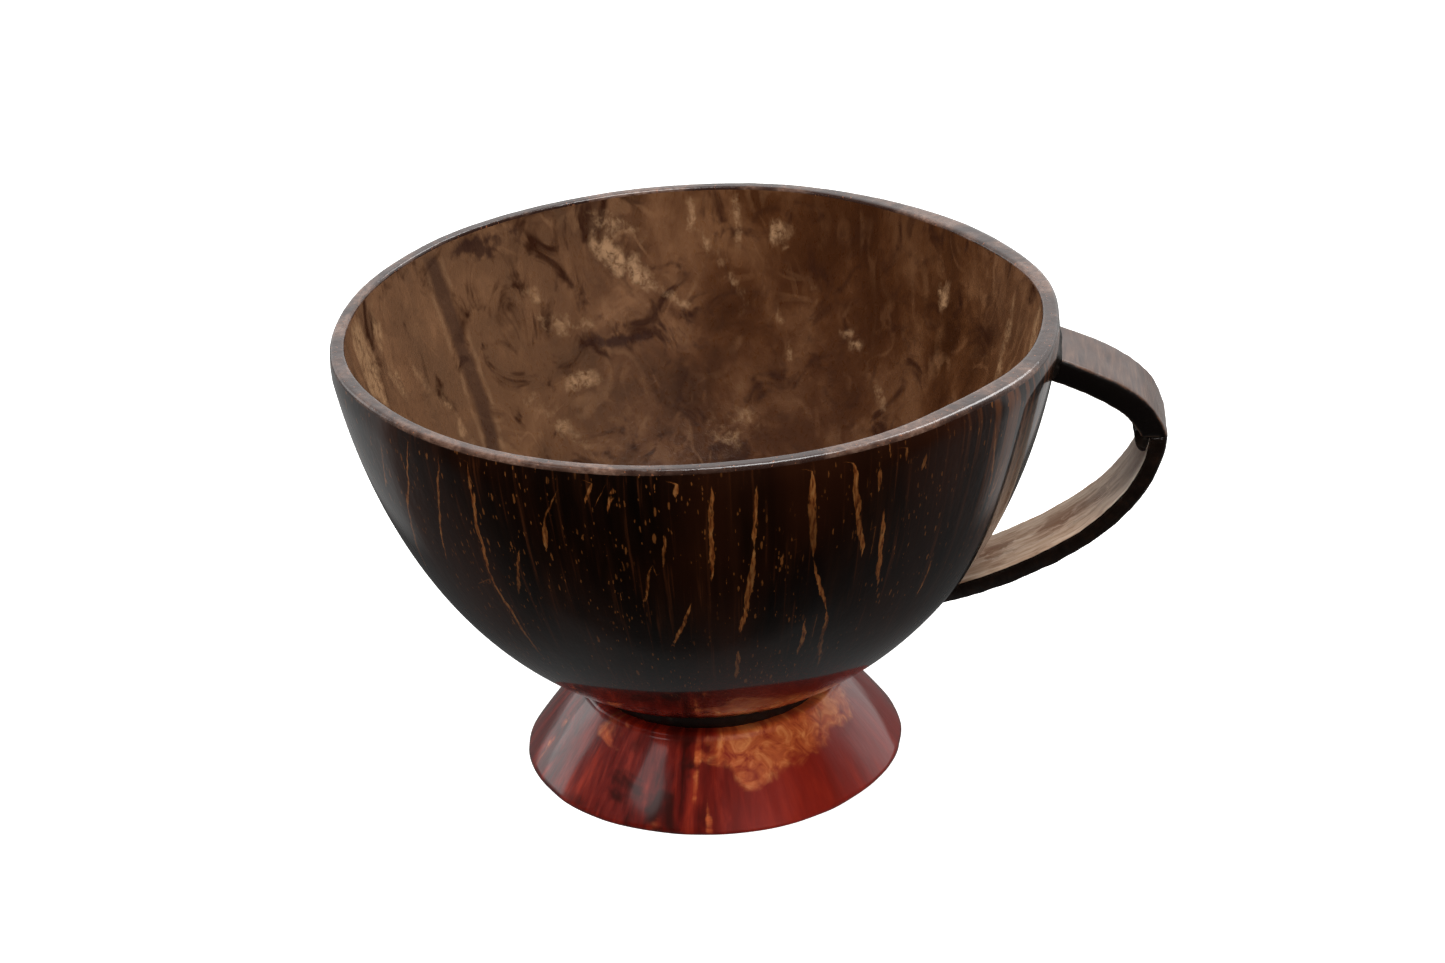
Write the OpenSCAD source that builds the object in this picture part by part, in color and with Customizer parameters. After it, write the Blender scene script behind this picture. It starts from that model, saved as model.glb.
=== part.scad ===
// Footed drinking cup made from coconut shell: a half shell for the bowl, the end of a
// smaller shell for the foot, and a handle of two curved shell strips glued at a corner.
// Millimetres, +Z up, origin at the centre of the foot on the table, handle along +X.

/* [Bowl] */
// Outer diameter across the rim
rim_d = 115; // [94:1:140]
// Height of the rim above the table
cup_h = 78; // [64:0.5:95]
// Wall of the bowl shell
wall = 3.2; // [2.4:0.1:5]
// Height of the bowl's lowest point above the table
bowl_clear = 10.8; // [8:0.2:15]
// How far above the rim the whole nut would have been widest
widest_above_rim = 23.7; // [12:0.1:34]
// Fullness of the bowl's shoulder: 2 is an ellipse and higher is fuller
fullness = 2.5; // [2:0.05:3]
// Radius on the two edges of the rim
rim_round = 0.8; // [0.2:0.1:1.1]

/* [Foot] */
// Outer diameter of the foot on the table
foot_d = 63.8; // [52:0.2:76]
// Outer diameter of the foot at its top edge
foot_top_d = 42.4; // [36:0.2:50]
// Wall of the foot shell
foot_wall = 3.8; // [2.5:0.1:5]
// How far the foot's flank swells out from a straight cone
foot_swell = 0.4; // [0:0.1:1.5]
// Height of the glue seam between the foot's top edge and the bowl
seam_h = 2.8; // [2.2:0.1:4]

/* [Handle] */
// Width of both handle strips
strip_w = 14; // [8:0.5:20]
// Thickness of the upper strip
upper_t = 4.1; // [2.5:0.1:6]
// Thickness of the lower strip
lower_t = 2.9; // [2:0.1:4]
// How far the handle stands out past the rim
handle_out = 17.9; // [14:0.1:26]
// Depth of the joint between the two strips, below the rim
corner_drop = 19.5; // [15:0.5:26]
// Depth of the upper strip's root, below the rim
upper_root_drop = 5.2; // [4:0.1:10]
// Height of the lower strip's landing on the bowl, above the table
lower_root_h = 28.5; // [24:0.5:34]

/* [Glue] */
// Thickness of the glue between a handle strip and what it meets
glue_gap = 0.4; // [0.2:0.05:0.8]
// How far the glue stands out around a joint
glue_bead = 0.8; // [0.4:0.1:1.5]
// How far the glue under the bowl is set back from the foot's edge
glue_setback = 0.9; // [0.3:0.1:2]

/* [Hidden] */

$fn = 96;
lacquer = "#2a1610";
red_stain = "#8c1d12";
raw_shell = "#8a6a50";
dark_glue = "#15100d";

rim_r = rim_d / 2;
profile_step = 3;
edge_steps = 4;
curve_steps = 14;
flank_steps = 6;
// A length that carries a piece past a surface that will cut it
past = 3;

// The whole nut's outline: its widest level, its depth below that and its greatest radius
nut_z = cup_h + widest_above_rim;
nut_depth = nut_z - bowl_clear;
function nut_angle(z) = acos(pow((nut_z - z) / nut_depth, fullness / 2));
nut_r = rim_r / sin(nut_angle(cup_h));
function bowl_r(z) = nut_r * sin(nut_angle(z));
function bowl_z(r) = nut_z - nut_depth * pow(cos(asin(r / nut_r)), 2 / fullness);

// A point on the nut's outline at angle a, and the same point moved inwards by a depth
function nut_point(a) = [nut_r * sin(a), nut_z - nut_depth * pow(cos(a), 2 / fullness)];
function inward(a) = let(d = nut_point(a + 0.2) - nut_point(max(a - 0.2, 0)))
    [-d[1], d[0]] / norm(d);
function wall_point(a, depth) = nut_point(a) + depth * inward(a);

// The angle at which the outline moved in by depth reaches height z, by halving
function angle_at(z, depth, low = 1, high = 89, n = 24) =
    let(mid = (low + high) / 2)
    n == 0 ? mid
    : wall_point(mid, depth)[1] < z ? angle_at(z, depth, mid, high, n - 1)
    : angle_at(z, depth, low, mid, n - 1);

// One face of the wall, from the pole up to height z
function wall_line(z, depth) = let(top = angle_at(z, depth), n = ceil(top / profile_step))
    concat([[0, bowl_clear + depth]],
           [for (i = [1:n]) wall_point(top * i / n, depth)]);

function reversed(list) = [for (i = [len(list) - 1:-1:0]) list[i]];

// The points inside a quarter round about centre c, from angle a up to a + 90
function quarter(c, r, a) =
    [for (i = [1:edge_steps - 1]) let(turn = a + 90 * i / edge_steps)
        c + r * [cos(turn), sin(turn)]];

// What the bowl fills, grown outwards: it cuts everything that is glued to the bowl
module bowl_space(grown = 0) {
    top = cup_h - rim_round;
    rotate_extrude()
        polygon(concat(wall_line(top, -grown), [[0, top]]));
}

module bowl_shell() {
    edge_z = cup_h - rim_round;
    outer = wall_line(edge_z, 0);
    inner = wall_line(edge_z, wall);
    lip_out = outer[len(outer) - 1][0] - rim_round;
    lip_in = inner[len(inner) - 1][0] + rim_round;
    color(lacquer)
        rotate_extrude()
            polygon(concat(outer,
                           quarter([lip_out, edge_z], rim_round, 0),
                           [[lip_out, cup_h], [lip_in, cup_h]],
                           quarter([lip_in, edge_z], rim_round, 90),
                           reversed(inner)));
}

// The foot's top edge stays one seam below the bowl; its wall leans, so its level width
// is more than its thickness
base_r = foot_d / 2;
top_r = foot_top_d / 2;
foot_h = bowl_z(top_r) - seam_h;
foot_level_w = foot_wall * norm([foot_h, base_r - top_r]) / foot_h;

module foot_ring() {
    function flank(s) = [base_r + (top_r - base_r) * s + foot_swell * 4 * s * (1 - s),
                         foot_h * s];
    color(red_stain)
        difference() {
            rotate_extrude()
                polygon(concat([for (i = [0:flank_steps]) flank(i / flank_steps)],
                               [[top_r - foot_level_w, foot_h], [base_r - foot_level_w, 0]]));
            bowl_space(glue_gap);
        }
}

module foot_glue_bed() {
    outer_r = top_r - glue_setback;
    bed_h = bowl_z(outer_r) - foot_h + past;
    color(dark_glue)
        difference() {
            translate([0, 0, foot_h])
                cylinder(r = outer_r, h = bed_h);
            translate([0, 0, foot_h - past])
                cylinder(r = top_r - foot_level_w, h = bed_h + 2 * past);
            bowl_space();
        }
}

// A curve from p to q that leaves and arrives at the given angles, pulled by the weights
function bend(p, leave_a, leave_w, q, arrive_a, arrive_w) = let(
        span = norm(q - p),
        p1 = p + span * leave_w * [cos(leave_a), sin(leave_a)],
        q1 = q - span * arrive_w * [cos(arrive_a), sin(arrive_a)])
    [for (i = [0:curve_steps]) let(t = i / curve_steps, s = 1 - t)
        s * s * s * p + 3 * s * s * t * p1 + 3 * s * t * t * q1 + t * t * t * q];

// The same curve moved to its right as it is walked
function beside(line, d) = [for (i = [0:len(line) - 1]) let(
        v = line[min(i + 1, len(line) - 1)] - line[max(i - 1, 0)])
    line[i] + d * [v[1], -v[0]] / norm(v)];

// Each strip's outer face follows a curve from its root on the bowl to the handle's corner
upper_a = -20;
upper_corner_a = -72;
lower_a = 13;
lower_corner_a = 85;
corner = [rim_r + handle_out, cup_h - corner_drop];
upper_root = [bowl_r(cup_h - upper_root_drop), cup_h - upper_root_drop];
lower_root = [bowl_r(lower_root_h), lower_root_h];
upper_line = bend(upper_root, upper_a, 0.68, corner, upper_corner_a, 0.22);
lower_line = bend(lower_root, lower_a, 0.24, corner, lower_corner_a, 0.38);

// A strip with its thickness on side 1, right of its line, or side -1, left of it
module strip(line, leave_a, t, side, grown = 0) {
    run = concat([line[0] - past * [cos(leave_a), sin(leave_a)]], line);
    w = strip_w + 2 * grown;
    rotate([90, 0, 0])
        translate([0, 0, -w / 2])
            linear_extrude(height = w)
                polygon(concat(beside(run, -side * grown),
                               reversed(beside(run, side * (t + grown)))));
}
module upper_bar(grown = 0) strip(upper_line, upper_a, upper_t, 1, grown);
module lower_bar(grown = 0) strip(lower_line, lower_a, lower_t, -1, grown);

// A block that removes what lies above or below the joint at the handle's corner
module beyond_corner(up) {
    size = 2 * corner[0];
    from = up ? corner[1] - glue_gap / 2 : corner[1] + glue_gap / 2 - size;
    translate([0, -size / 2, from])
        cube(size);
}

module handle_upper_strip() {
    color(lacquer)
        difference() {
            upper_bar();
            beyond_corner(false);
            bowl_space(glue_gap);
        }
}

module handle_lower_strip() {
    color(raw_shell)
        difference() {
            lower_bar();
            beyond_corner(true);
            bowl_space(glue_gap);
        }
}

// The layer between the strips, and the bead squeezed out into the inside of the bend
module handle_corner_glue() {
    layer = min(upper_t, lower_t);
    color(dark_glue) {
        difference() {
            union() {
                translate([corner[0] - layer, -strip_w / 2, corner[1] - glue_gap / 2])
                    cube([layer, strip_w, glue_gap]);
                translate([corner[0] - upper_t + glue_bead / 2, 0, corner[1] - glue_gap])
                    rotate([90, 0, 0])
                        cylinder(r = 1.5 * glue_bead, h = strip_w, center = true);
            }
            handle_upper_strip();
            handle_lower_strip();
        }
    }
}

// Fills the gap between a strip's end and the bowl, and stands out around it as a bead;
// the first child is the strip grown by the bead, and the second the finished strip
module root_glue() {
    color(dark_glue)
        difference() {
            intersection() {
                children(0);
                bowl_space(glue_gap + glue_bead);
            }
            bowl_space();
            children(1);
        }
}
module upper_root_glue() {
    root_glue() {
        upper_bar(glue_bead);
        handle_upper_strip();
    }
}
module lower_root_glue() {
    root_glue() {
        lower_bar(glue_bead);
        handle_lower_strip();
    }
}

bowl_shell();
foot_ring();
foot_glue_bed();
handle_upper_strip();
handle_lower_strip();
handle_corner_glue();
upper_root_glue();
lower_root_glue();
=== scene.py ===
"""A footed drinking cup of coconut shell: a lacquered half shell, a red foot ring cut from a
smaller shell, and a handle of two shell strips, all held by dark glue.

Metres, +Z up, the cup's axis on Z, the handle towards +X.
"""
from math import acos, asin, atan2, cos, degrees, exp, hypot, pi, radians, sin

import bmesh
import bpy
from mathutils import Matrix, Vector, noise


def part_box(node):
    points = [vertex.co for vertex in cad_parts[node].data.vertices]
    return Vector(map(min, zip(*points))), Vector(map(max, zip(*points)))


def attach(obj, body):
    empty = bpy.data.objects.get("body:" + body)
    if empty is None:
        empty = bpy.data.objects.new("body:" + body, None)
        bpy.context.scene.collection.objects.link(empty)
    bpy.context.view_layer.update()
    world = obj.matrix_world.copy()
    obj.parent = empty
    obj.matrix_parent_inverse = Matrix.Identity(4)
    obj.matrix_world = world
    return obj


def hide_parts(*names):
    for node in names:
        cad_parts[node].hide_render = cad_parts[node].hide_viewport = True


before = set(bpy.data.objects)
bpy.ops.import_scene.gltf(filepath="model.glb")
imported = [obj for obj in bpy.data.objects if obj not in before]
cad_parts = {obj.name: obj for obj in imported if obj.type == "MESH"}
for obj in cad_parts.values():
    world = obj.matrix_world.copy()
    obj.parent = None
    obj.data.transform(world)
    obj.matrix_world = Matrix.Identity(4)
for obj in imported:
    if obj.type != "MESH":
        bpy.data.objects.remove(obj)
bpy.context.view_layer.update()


# ---------------------------------------------------------------------------------------
# The bowl: half a coconut shell, sanded and polished outside under a thick clear lacquer,
# and only scraped inside. Its outline is that of a whole nut, sawn off below its widest
# level, where the rim is a little out of round and thicker beside the handle.

# Sizes are written in millimetres and kept in metres
MM = 0.001
bowl_low, bowl_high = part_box("bowl_shell")
rim_z = bowl_high.z
rim_r = (bowl_high.x - bowl_low.x) / 2
pole_z = bowl_low.z
widest_above_rim = 23.7 * MM
nut_z = rim_z + widest_above_rim
nut_depth = nut_z - pole_z
fullness = 2.5
mean_wall = 3.2 * MM
thin_wall = 2.7 * MM


def nut_angle(z):
    """How far round the nut, from its lower end, the outline reaches height z."""
    return acos(min(max((nut_z - z) / nut_depth, 0), 1) ** (fullness / 2))


nut_r = rim_r / sin(nut_angle(rim_z))


def bowl_r(z):
    """The nut's outer radius at height z."""
    return nut_r * sin(nut_angle(z))


def bowl_z(r):
    """The height of the nut's outer face at radius r."""
    return nut_z - nut_depth * cos(asin(min(r / nut_r, 1))) ** (2 / fullness)


def turned(azimuth, centre):
    """The angle in degrees from the centre azimuth, the short way round."""
    return (azimuth - centre + 180) % 360 - 180


def round_wall(azimuth, centre, r):
    """How far it is from the centre azimuth, in mm round a wall of radius r."""
    return radians(turned(azimuth, centre)) * r / MM


def bump_at(azimuth, centre, spread):
    """A smooth swelling, 1 at the centre azimuth and fading over the spread, in degrees."""
    return exp(-(turned(azimuth, centre) / spread) ** 2)


def ring_noise(angle, coarse, level):
    """Smooth noise round the cup, which meets itself after a full turn."""
    return noise.noise(Vector((cos(angle) * coarse, sin(angle) * coarse, level)))


def out_of_round(azimuth, z):
    """How far the natural shell stands out from a true round at a place on its wall."""
    high = max((z - pole_z) / (rim_z - pole_z), 0) ** 1.6
    rim = (0.6 + 1.7 * bump_at(azimuth, -22, 16) + 0.9 * bump_at(azimuth, 8, 18)
           + 0.4 * bump_at(azimuth, 80, 28) + 0.8 * bump_at(azimuth, -160, 16)
           - 0.5 * bump_at(azimuth, -80, 14))
    soft = ring_noise(radians(azimuth), 2.2, z / (22 * MM))
    return (rim * high + 0.16 * soft) * MM


def bowl_skin_r(azimuth, z):
    """The outer face of the finished bowl, which the handle and its glue are fitted to."""
    return bowl_r(z) + out_of_round(azimuth, z)


def wall_at(azimuth, z):
    """The shell's thickness: even below, and thicker towards the rim beside the handle."""
    high = max((z - pole_z) / (rim_z - pole_z), 0) ** 2
    extra = (2.0 * bump_at(azimuth, -32, 24) + 2.2 * bump_at(azimuth, 42, 28)
             + 0.5 * bump_at(azimuth, -157, 14))
    return thin_wall + extra * high * MM


turn_steps = 520
weld = 0.005 * MM
lip_h = 0.8 * MM
shoulder_h = 3.4 * MM
shoulder_in = 0.5 * MM


def outer_line():
    """Half-section of the outer face from the pole to the top of the rim's soft shoulder."""
    top = nut_angle(rim_z - lip_h)
    rows = 92
    points = []
    for i in range(rows + 1):
        a = top * i / rows
        z = nut_z - nut_depth * cos(a) ** (2 / fullness)
        drop = (z - (rim_z - shoulder_h)) / (shoulder_h - lip_h)
        ease = max(drop, 0) ** 1.3
        points.append((nut_r * sin(a) - shoulder_in * ease, z))
    return points


def rim_line(start, inner_r):
    """Over the rim: the rounded outer edge, the sawn top and the rounded inner edge."""
    out_rows, top_rows, in_rows = 6, 4, 5
    r, z = start
    out_r = 0.75 * MM
    in_r = 0.55 * MM
    points = [start]
    for i in range(1, out_rows + 1):
        a = pi / 2 * i / out_rows
        points.append((r - out_r * (1 - cos(a)), z + (rim_z - z) * sin(a)))
    for i in range(1, top_rows):
        points.append((r - out_r + (inner_r + in_r - r + out_r) * i / top_rows, rim_z))
    for i in range(in_rows + 1):
        a = pi / 2 * i / in_rows
        points.append((inner_r + in_r - in_r * sin(a), rim_z - in_r * (1 - cos(a))))
    return points


def inner_line(start, wall):
    """Half-section of the inner face from the rim's inner edge down to the pole."""
    r0, z0 = start
    rows = 66
    pinch = 0.02
    points = [start]
    top = nut_angle(z0)
    shrink = r0 / bowl_r(z0)
    floor_z = pole_z + wall
    for i in range(1, rows + 1):
        t = 1 - i / rows
        a = top * t
        z = nut_z - nut_depth * cos(a) ** (2 / fullness)
        z = floor_z + (z - pole_z) * (z0 - floor_z) / (z0 - pole_z)
        points.append((nut_r * sin(a) * shrink * (1 - pinch * sin(pi * t)), z))
    return points


def spin_line(mesh, points, steps, finish):
    """Turns a half-section round the cup's axis: an eighth of a turn, doubled three times."""
    verts = [mesh.verts.new((r, 0, z)) for r, z in points]
    edges = [mesh.edges.new(pair) for pair in zip(verts, verts[1:])]
    before = set(mesh.faces)
    bmesh.ops.spin(mesh, geom=verts + edges, cent=(0, 0, 0), axis=(0, 0, 1),
                   angle=pi / 4, steps=steps // 8, use_merge=False, use_duplicate=False)
    wedge = [face for face in mesh.faces if face not in before]
    for face in wedge:
        face.material_index = finish
    for turn in (pi / 4, pi / 2, pi):
        copy = bmesh.ops.duplicate(mesh, geom=wedge)["geom"]
        moved = [part for part in copy if isinstance(part, bmesh.types.BMVert)]
        bmesh.ops.rotate(mesh, verts=moved, cent=(0, 0, 0), matrix=Matrix.Rotation(turn, 3, "Z"))
        wedge += [part for part in copy if isinstance(part, bmesh.types.BMFace)]


def to_object(mesh, name, materials):
    """Finishes a bmesh as a smooth object with its materials, riding on the cup."""
    data = bpy.data.meshes.new(name)
    mesh.to_mesh(data)
    mesh.free()
    for material in materials:
        data.materials.append(material)
    data.polygons.foreach_set("use_smooth", [True] * len(data.polygons))
    piece = bpy.data.objects.new(name, data)
    bpy.context.scene.collection.objects.link(piece)
    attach(piece, "root")
    return piece


def store(piece, name, values):
    """Keeps a three-part value at each vertex for a material to read."""
    layer = piece.data.attributes.new(name, "FLOAT_VECTOR", "POINT")
    layer.data.foreach_set("vector", [part for value in values for part in value])


# Fibres that show tan under the lacquer: where each starts below the rim and where it ends,
# as degrees round from the handle and millimetres up, and its half-width in millimetres
fibres = [
    (-121, 76, -123, 54, 0.42), (-123.1, 57, -120.5, 36, 0.40), (-127, 75, -133.5, 54, 0.28),
    (-133.5, 76, -146, 46, 0.3), (-142, 73, -145.5, 63, 0.3), (-106, 74, -109, 68, 0.2),
    (-109, 68, -110, 62.5, 0.62), (-100.5, 76, -102, 72, 0.35), (-98, 75, -99, 71, 0.28),
    (-115, 61.5, -118, 52, 0.42), (-125, 52.8, -127, 51.6, 0.7), (-88, 76, -88.5, 73.5, 0.6),
    (-83, 75, -84, 58, 0.5), (-90, 67, -91.5, 60, 0.3), (-93, 61, -95, 54, 0.3),
    (-87, 53.5, -91.5, 44, 0.42), (-76.5, 74.5, -77, 64, 0.42), (-77, 63.5, -79, 46.5, 0.62),
    (-79.4, 43, -79.8, 35, 0.42), (-68.3, 76, -67.5, 60, 0.8), (-67.2, 59, -64, 48.5, 0.42),
    (-64, 48.5, -62, 34.5, 0.5), (-61.8, 76, -58.8, 58, 0.7), (-57, 74, -57.2, 69.5, 0.45),
    (-55.7, 66, -54.5, 50.5, 0.55), (-49, 73.5, -49.8, 71, 0.55), (-34.5, 74, -31.6, 60, 0.28),
    (-29.3, 65, -30.8, 58, 0.3), (-42.3, 53, -43.2, 44, 0.28), (-67.6, 47.5, -67.4, 39, 0.42),
    (-18.4, 69, -19.7, 63, 0.4), (-24, 74, -25, 68, 0.3), (-12, 76, -15, 56, 0.45),
    (-7.5, 66, -9, 48, 0.5), (-52.5, 76, -52.8, 73.5, 0.3), (-72, 62, -72.4, 59, 0.3),
]
# The far side is grained in the same way: each fibre is a fixed turn on from the one before,
# wrapped round so that they spread evenly
for i in range(34):
    azimuth = 4 + (i * 127.3) % 206
    top = 75 - (i * 23) % 34
    fibres.append((azimuth, top, azimuth + (i % 7 - 3) * 0.8, top - 6 - (i * 11) % 19,
                   0.25 + (i % 5) * 0.11))


def fibre_at(azimuth, z, r):
    """The nearest fibre: how far off to the side, how sure it is, and its half-width, in mm."""
    reach = 3.0
    best = (reach, 0.0, 0.0)
    nearest = 2 * reach
    for top_a, top_z, low_a, low_z, half in fibres:
        past_end = max(z / MM - top_z, low_z - z / MM, 0)
        if past_end < reach:
            along = (top_z - z / MM) / (top_z - low_z)
            centre = top_a + (low_a - top_a) * along
            off = round_wall(azimuth, centre, r)
            if abs(off) + past_end < nearest:
                nearest = abs(off) + past_end
                sure = min(max((1.7 - abs(off)) / 0.6, 0), 1)
                taper = max(1 - (2 * along - 1) ** 4, -0.8)
                best = (max(min(off, reach), -reach), sure, half * taper)
    return best


# Pale and dark marks inside: degrees round, millimetres up, half-length, half-width, lean
# from upright in degrees, and strength (dark when negative)
marks = [
    (178, 70, 8.0, 3.0, 10, 1.2), (169, 72, 4, 1.6, 0, 0.9), (4, 69, 9, 2.4, 0, 1.3),
    (1, 60, 6, 1.4, 8, 0.7), (109, 73, 5, 1.7, 60, 0.6), (108, 66, 6.5, 1.9, 50, 0.9),
    (101, 60, 6, 0.8, 62, 0.6), (90, 65, 8, 0.8, 35, 0.5),
    (120.5, 48.6, 3.2, 1.5, 90, 1.0), (111, 53.5, 6.5, 1.1, 85, -0.8), (40, 66.3, 2.2, 1.4, 0, 0.9),
    (78, 70.2, 2.4, 2.0, 0, 0.7), (86.6, 38.5, 4.5, 3.0, 70, 0.55), (61, 54, 4.2, 0.8, 60, 0.7),
    (95, 74, 5, 0.8, 0, 0.6), (86.5, 73, 6, 0.7, 4, 0.6), (128, 64, 3, 1.5, 60, 0.6),
    (122, 58, 5, 1.9, 75, 0.5), (130, 44, 7, 1.6, 35, 0.55),
    (139, 75, 6, 1.2, 70, -0.7), (134, 76, 7, 1.6, 80, -0.8), (18, 64, 9, 1.1, 3, 0.6),
    (70, 60, 4, 0.8, 25, 0.4), (76, 52, 6, 0.7, 20, 0.4), (50, 46, 5, 1.2, 60, 0.35),
    (160, 60, 5, 1.0, 10, 0.4), (155, 50, 7, 1.4, 10, 0.4), (168, 62, 4, 1.6, 20, 0.5),
    (-40, 60, 7, 1.4, 20, 0.7), (-75, 52, 6, 1.8, 60, 0.8), (-110, 62, 9, 1.1, 10, 0.7),
    (-135, 45, 5, 2.0, 50, 0.7), (-15, 48, 8, 1.0, 30, 0.6), (-95, 34, 6, 1.6, 75, 0.5),
    (-60, 30, 5, 2.2, 40, -0.7), (-150, 66, 6, 1.3, 15, 0.6), (5, 38, 6, 1.4, 70, 0.5),
]


def marked(azimuth, z, r, spots, reach):
    """How strongly a place is marked: the sum of soft ovals, each fading out at its reach."""
    total = 0.0
    for centre, height, half_l, half_w, lean, strength in spots:
        side = round_wall(azimuth, centre, r)
        up = z / MM - height
        c, s = cos(radians(lean)), sin(radians(lean))
        far = ((up * c + side * s) / half_l) ** 2 + ((side * c - up * s) / half_w) ** 2
        total += strength * max(1 - far / reach, 0)
    return total


def suture_at(azimuth, z):
    """Sideways distance in mm from the seam line that runs down inside the shell, which
    bows: it turns away a little towards the rim, and more towards the bottom."""
    bow_h, half_span = 55, 23
    above = (z / MM - bow_h) / half_span
    line = 145.9 + (2.7 if above > 0 else 9) * above ** 2
    return round_wall(azimuth, line, bowl_r(z))


mesh = bmesh.new()
outside = outer_line()
over = rim_line(outside[-1], bowl_r(rim_z) - mean_wall)
inside = inner_line(over[-1], mean_wall)
LACQUER, SAWN, SCRAPED = 0, 1, 2
spin_line(mesh, outside, turn_steps, LACQUER)
spin_line(mesh, over, turn_steps, SAWN)
spin_line(mesh, inside, turn_steps, SCRAPED)
bmesh.ops.remove_doubles(mesh, verts=mesh.verts, dist=weld)
bmesh.ops.recalc_face_normals(mesh, faces=mesh.faces)

pole_zone = 12 * MM
rim_zone = 1.2 * MM
seam_low = 40 * MM
seam_reach = 14
grain_values, fibre_values, mark_values = [], [], []
for vert in mesh.verts:
    finishes = {face.material_index for face in vert.link_faces}
    r = hypot(vert.co.x, vert.co.y)
    z = vert.co.z
    azimuth = degrees(atan2(vert.co.y, vert.co.x))
    depth = 1.0 if SCRAPED in finishes else 0.0
    if SAWN in finishes:
        depth = min(max((bowl_r(z) - r) / mean_wall, 0), 1)
    along = nut_angle(z) * nut_r
    # Outside, the grain runs down to the nut's end; inside, it is even all over
    spread = (rim_r + (r - rim_r) * depth) / MM
    grain_values.append((spread * cos(radians(azimuth)), spread * sin(radians(azimuth)),
                         along / MM))
    fibre_values.append(fibre_at(azimuth, z, r) if depth == 0 and r > MM else (3, 0, 0))
    seam = suture_at(azimuth, z)
    on_seam = depth == 1 and abs(seam) < seam_reach and z > seam_low
    mark = marked(azimuth, z, r, marks, 2.2) if depth == 1 and r > MM else 0
    mark_values.append((mark, seam, 1 if on_seam else 0))
    swell = out_of_round(azimuth, z)
    thinner = mean_wall - wall_at(azimuth, z)
    dip = 0
    if z > rim_z - rim_zone:
        angle = radians(azimuth)
        dip = 0.12 * MM * (ring_noise(angle, 3, 5) + 0.35 * ring_noise(angle, 24, 9))
    out = swell + depth * thinner
    scraped = 0
    if depth == 1.0:
        scraped = 0.10 * MM * noise.noise(vert.co / (5 * MM))
    if r > 0:
        grow = 1 + (out * min(r / pole_zone, 1) + scraped) / r
        vert.co = Vector((vert.co.x * grow, vert.co.y * grow, z + dip))


# Node helpers, shared by every material below
def node(tree, kind, inputs=None, **settings):
    """Adds a shader node; an input is a value or another node's output."""
    made = tree.nodes.new("ShaderNode" + kind)
    for key, value in settings.items():
        setattr(made, key, value)
    for key, value in (inputs or {}).items():
        if isinstance(value, bpy.types.NodeSocket):
            tree.links.new(value, made.inputs[key])
        else:
            made.inputs[key].default_value = value
    return made


def maths(tree, operation, a, b=0.0, clamp=False):
    return node(tree, "Math", {0: a, 1: b}, operation=operation, use_clamp=clamp).outputs[0]


def times(tree, a, b):
    return maths(tree, "MULTIPLY", a, b)


def plus(tree, a, b):
    return maths(tree, "ADD", a, b)


def size_of(tree, value):
    return maths(tree, "ABSOLUTE", value)


def about_zero(tree, texture, reach):
    """A texture's value moved from 0 to 1 to run about zero, by its reach in all."""
    return times(tree, maths(tree, "SUBTRACT", texture, 0.5), reach)


def between(tree, value, low, high):
    """0 at low and 1 at high, eased; low may be above high."""
    return node(tree, "MapRange", {"Value": value, "From Min": low, "From Max": high},
                interpolation_type="SMOOTHSTEP").outputs["Result"]


def blend(tree, amount, a, b):
    """From a to b as the amount goes from 0 to 1; a colour may be three numbers."""
    made = node(tree, "Mix", data_type="RGBA")
    for socket, value in zip((made.inputs[0], made.inputs[6], made.inputs[7]), (amount, a, b)):
        if isinstance(value, bpy.types.NodeSocket):
            tree.links.new(value, socket)
        else:
            socket.default_value = value if isinstance(value, (int, float)) else (*value, 1)
    return made.outputs[2]


def stretched(tree, vector, scale):
    return node(tree, "VectorMath", {0: vector, 1: scale}, operation="MULTIPLY").outputs[0]


def drawn_out(tree, grain, share):
    """The grain drawn out along the nut: the smaller the share, the longer a pattern on it."""
    return stretched(tree, grain, (1, 1, share))


def clouds(tree, vector, scale, detail=3.0, rough=0.5, warp=0.0, kind="FBM"):
    return node(tree, "TexNoise", {"Vector": vector, "Scale": scale, "Detail": detail,
                                   "Roughness": rough, "Distortion": warp},
                noise_type=kind).outputs["Fac"]


def stops(tree, value, colours):
    """A colour ramp through (place, colour) pairs."""
    made = node(tree, "ValToRGB", {"Fac": value})
    ramp = made.color_ramp
    for i, (place, colour) in enumerate(colours):
        stop = ramp.elements[i] if i < 2 else ramp.elements.new(place)
        stop.position = place
        stop.color = (*colour, 1)
    return made.outputs["Color"]


def finish(name):
    """A new material: its node tree and its shader."""
    material = bpy.data.materials.new(name)
    material.use_nodes = True
    tree = material.node_tree
    return material, tree, tree.nodes["Principled BSDF"]


def bumped(tree, surface, height, distance, strength=1.0):
    made = node(tree, "Bump", {"Height": height, "Distance": distance, "Strength": strength})
    tree.links.new(made.outputs["Normal"], surface.inputs["Normal"])
    return made


def colour_in(tree, surface, colour):
    tree.links.new(colour, surface.inputs["Base Color"])


def rough_in(tree, surface, value):
    tree.links.new(value, surface.inputs["Roughness"])


def attribute(tree, name):
    return node(tree, "Attribute", attribute_name=name).outputs["Vector"]


def parts(tree, vector):
    return node(tree, "SeparateXYZ", {0: vector}).outputs


def on_cup(tree):
    """Where a point of the cup is, in metres."""
    return node(tree, "TexCoord").outputs["Object"]


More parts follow.
